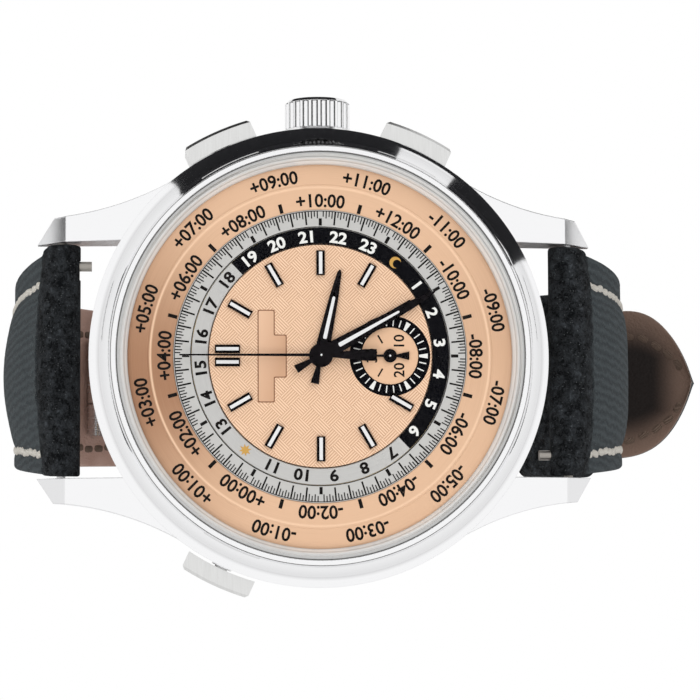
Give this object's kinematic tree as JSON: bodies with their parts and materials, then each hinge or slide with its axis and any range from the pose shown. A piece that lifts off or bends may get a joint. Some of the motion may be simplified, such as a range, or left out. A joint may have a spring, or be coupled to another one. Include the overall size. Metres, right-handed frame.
{
  "type": "world time watch",
  "caption": "Round steel world time chronograph wristwatch with salmon dial, rotating city and day-night discs, crown, pushers, dark strap and fold-over clasp.",
  "frame": {"origin": "centre of the case back's outer face", "axes": "+Z out of the dial, +Y to 12 o'clock, +X to 3 o'clock and the crown"},
  "size_m": [0.0448, 0.0741, 0.0565],
  "materials": {
    "polished_steel": "polished steel",
    "brushed_steel": "satin-brushed steel",
    "crystal": "clear sapphire",
    "gasket": "black seal",
    "salmon_dial": "salmon galvanic finish",
    "silver_ring": "silver opaline",
    "black_lacquer": "black lacquer",
    "hand_black": "blackened steel with white inlay",
    "movement_steel": "rhodium-plated, striped",
    "brass_wheel": "gilt",
    "gold": "gold",
    "ruby": "synthetic ruby",
    "strap_fabric": "dark ribbed calf, fabric look",
    "strap_lining": "smooth taupe calf"
  },
  "bodies": {
    "case": {"case_middle": "polished_steel", "case_back": "polished_steel", "case_back_window": "crystal", "gaskets": "gasket", "bezel": "polished_steel", "crystal": "crystal", "flange_ring": "brushed_steel", "movement_ring": "movement_steel", "main_plate": "movement_steel", "train_bridge": "movement_steel", "balance_cock": "movement_steel", "jewels": "ruby", "bridge_screws": "polished_steel", "rotor_bearing": "polished_steel", "dial_plate": "brass_wheel", "dial_centre": "salmon_dial", "counter_dial": "black_lacquer", "minute_track_ring": "silver_ring", "hour_markers": "hand_black", "case_tubes": "polished_steel", "pusher_2_spring": "polished_steel", "pusher_4_spring": "polished_steel", "pusher_10_spring": "polished_steel", "hairspring": "polished_steel"},
    "hour_hand": {"hour_hand": "hand_black", "hour_wheel": "brass_wheel"},
    "minute_hand": {"minute_hand": "hand_black", "centre_wheel": "brass_wheel"},
    "minute_wheel": {"minute_wheel": "brass_wheel"},
    "day_night_disc": {"day_night_disc": "black_lacquer"},
    "city_disc": {"city_disc": "salmon_dial"},
    "chrono_seconds": {"chrono_seconds_hand": "hand_black", "chrono_wheel": "brass_wheel"},
    "counter_hand": {"counter_hand": "hand_black"},
    "barrel": {"barrel": "brass_wheel"},
    "ratchet_wheel": {"ratchet_wheel": "polished_steel"},
    "balance_wheel": {"balance_wheel": "brass_wheel"},
    "escape_wheel": {"escape_wheel": "polished_steel"},
    "pallet_fork": {"pallet_fork": "polished_steel"},
    "column_wheel": {"column_wheel": "polished_steel"},
    "rotor": {"rotor": "gold"},
    "winding_pinion": {"winding_pinion": "polished_steel"},
    "crown": {"crown": "polished_steel", "winding_stem": "polished_steel"},
    "pusher_2": {"pusher_2": "polished_steel"},
    "pusher_4": {"pusher_4": "polished_steel"},
    "pusher_10": {"pusher_10": "polished_steel"},
    "strap_12": {"strap_12_cover": "strap_fabric", "strap_12_lining": "strap_lining", "spring_bar_12": "polished_steel"},
    "release_12": {"release_pin_12": "polished_steel"},
    "strap_6": {"strap_6_cover": "strap_fabric", "strap_6_lining": "strap_lining", "spring_bar_6": "polished_steel", "strap_keeper": "strap_fabric", "clasp_end_pin": "polished_steel"},
    "release_6": {"release_pin_6": "polished_steel"},
    "clasp_base": {"clasp_base": "brushed_steel"},
    "clasp_blade": {"clasp_blade": "brushed_steel"},
    "clasp_tang": {"clasp_tang": "polished_steel"}
  },
  "joints": [
    {"name": "minute_hand_turn", "type": "hinge", "parent": "case", "child": "minute_hand", "pos_m": [0, 0, 0.0096], "axis": [0, 0, -1], "continuous": true},
    {"name": "hour_hand_turn", "type": "hinge", "parent": "case", "child": "hour_hand", "pos_m": [0, 0, 0.0096], "axis": [0, 0, -1], "continuous": true},
    {"name": "minute_wheel_turn", "type": "hinge", "parent": "case", "child": "minute_wheel", "pos_m": [-0.00272, -0.00127, 0.0096], "axis": [0, 0, -1], "continuous": true},
    {"name": "day_night_turn", "type": "hinge", "parent": "case", "child": "day_night_disc", "pos_m": [0, 0, 0.0096], "axis": [0, 0, -1], "continuous": true},
    {"name": "barrel_turn", "type": "hinge", "parent": "case", "child": "barrel", "pos_m": [0.00347, 0.00414, 0.005], "axis": [0, 0, -1], "continuous": true},
    {"name": "city_disc_turn", "type": "hinge", "parent": "case", "child": "city_disc", "pos_m": [0, 0, 0.0096], "axis": [0, 0, -1], "continuous": true},
    {"name": "chrono_seconds_turn", "type": "hinge", "parent": "case", "child": "chrono_seconds", "pos_m": [0, 0, 0.0096], "axis": [0, 0, -1], "continuous": true},
    {"name": "counter_hand_turn", "type": "hinge", "parent": "case", "child": "counter_hand", "pos_m": [0, -0.00615, 0.0096], "axis": [0, 0, -1], "continuous": true},
    {"name": "ratchet_turn", "type": "hinge", "parent": "case", "child": "ratchet_wheel", "pos_m": [0.00347, 0.00414, 0.005], "axis": [0, 0, -1], "continuous": true},
    {"name": "balance_swing", "type": "hinge", "parent": "case", "child": "balance_wheel", "pos_m": [-0.00758, -0.00683, 0.005], "axis": [0, 0, -1], "range_deg": [-140, 140], "deforming": ["hairspring"]},
    {"name": "escape_turn", "type": "hinge", "parent": "case", "child": "escape_wheel", "pos_m": [0.00041, -0.00589, 0.005], "axis": [0, 0, -1], "continuous": true},
    {"name": "pallet_rock", "type": "hinge", "parent": "case", "child": "pallet_fork", "pos_m": [-0.0047, -0.00649, 0.005], "axis": [0, 0, -1], "range_deg": [-5, 5]},
    {"name": "column_wheel_turn", "type": "hinge", "parent": "case", "child": "column_wheel", "pos_m": [-0.00488, 0.00918, 0.005], "axis": [0, 0, -1], "continuous": true},
    {"name": "rotor_turn", "type": "hinge", "parent": "case", "child": "rotor", "pos_m": [0, 0, 0.00175], "axis": [0, 0, -1], "continuous": true},
    {"name": "crown_turn", "type": "hinge", "parent": "case", "child": "winding_pinion", "pos_m": [0.012, 0, 0.0057], "axis": [1, 0, 0], "continuous": true},
    {"name": "crown_pull", "type": "slide", "parent": "winding_pinion", "child": "crown", "axis": [1, 0, 0], "range_m": [0, 0.001]},
    {"name": "pusher_2_press", "type": "slide", "parent": "case", "child": "pusher_2", "axis": [-0.91, -0.4147, 0], "range_m": [0, 0.0006], "stiffness_N_per_m": 1500, "springref_m": -0.0005, "deforming": ["pusher_2_spring"]},
    {"name": "pusher_4_press", "type": "slide", "parent": "case", "child": "pusher_4", "axis": [-0.91, 0.4147, 0], "range_m": [0, 0.0006], "stiffness_N_per_m": 1500, "springref_m": -0.0005, "deforming": ["pusher_4_spring"]},
    {"name": "pusher_10_press", "type": "slide", "parent": "case", "child": "pusher_10", "axis": [0.9063, -0.4226, 0], "range_m": [0, 0.0006], "stiffness_N_per_m": 1500, "springref_m": -0.0005, "deforming": ["pusher_10_spring"]},
    {"name": "strap_12_fold", "type": "hinge", "parent": "case", "child": "strap_12", "pos_m": [0, 0.0231, 0.003], "axis": [1, 0, 0], "range_deg": [0, 75]},
    {"name": "strap_6_fold", "type": "hinge", "parent": "case", "child": "strap_6", "pos_m": [0, -0.0231, 0.003], "axis": [-1, 0, 0], "range_deg": [0, 16.5]},
    {"name": "release_12_draw", "type": "slide", "parent": "strap_12", "child": "release_12", "axis": [-1, 0, 0], "range_m": [0, 0.0008], "stiffness_N_per_m": 400, "springref_m": -0.0005},
    {"name": "release_6_draw", "type": "slide", "parent": "strap_6", "child": "release_6", "axis": [1, 0, 0], "range_m": [0, 0.0008], "stiffness_N_per_m": 400, "springref_m": -0.0005},
    {"name": "clasp_base_fold", "type": "hinge", "parent": "strap_6", "child": "clasp_base", "pos_m": [0, -0.00855, -0.03908], "axis": [1, 0, 0], "range_deg": [0, 35]},
    {"name": "clasp_blade_fold", "type": "hinge", "parent": "clasp_base", "child": "clasp_blade", "pos_m": [0, 0.021, -0.03455], "axis": [1, 0, 0], "range_deg": [0, 41.25]},
    {"name": "tang_lift", "type": "hinge", "parent": "clasp_blade", "child": "clasp_tang", "pos_m": [0, 0.00228, -0.04086], "axis": [1, 0, 0], "range_deg": [0, 67.5]}
  ],
  "couplings": [
    {"joint": "hour_hand_turn", "follows": "minute_hand_turn", "ratio": 0.083333},
    {"joint": "minute_wheel_turn", "follows": "minute_hand_turn", "ratio": -0.33333},
    {"joint": "day_night_turn", "follows": "minute_hand_turn", "ratio": -0.041667},
    {"joint": "barrel_turn", "follows": "minute_hand_turn", "ratio": -0.125},
    {"joint": "counter_hand_turn", "follows": "chrono_seconds_turn", "ratio": 0.033333},
    {"joint": "strap_6_fold", "follows": "strap_12_fold", "ratio": 0.22},
    {"joint": "clasp_blade_fold", "follows": "strap_12_fold", "ratio": 0.55},
    {"joint": "tang_lift", "follows": "strap_12_fold", "ratio": 0.9}
  ]
}
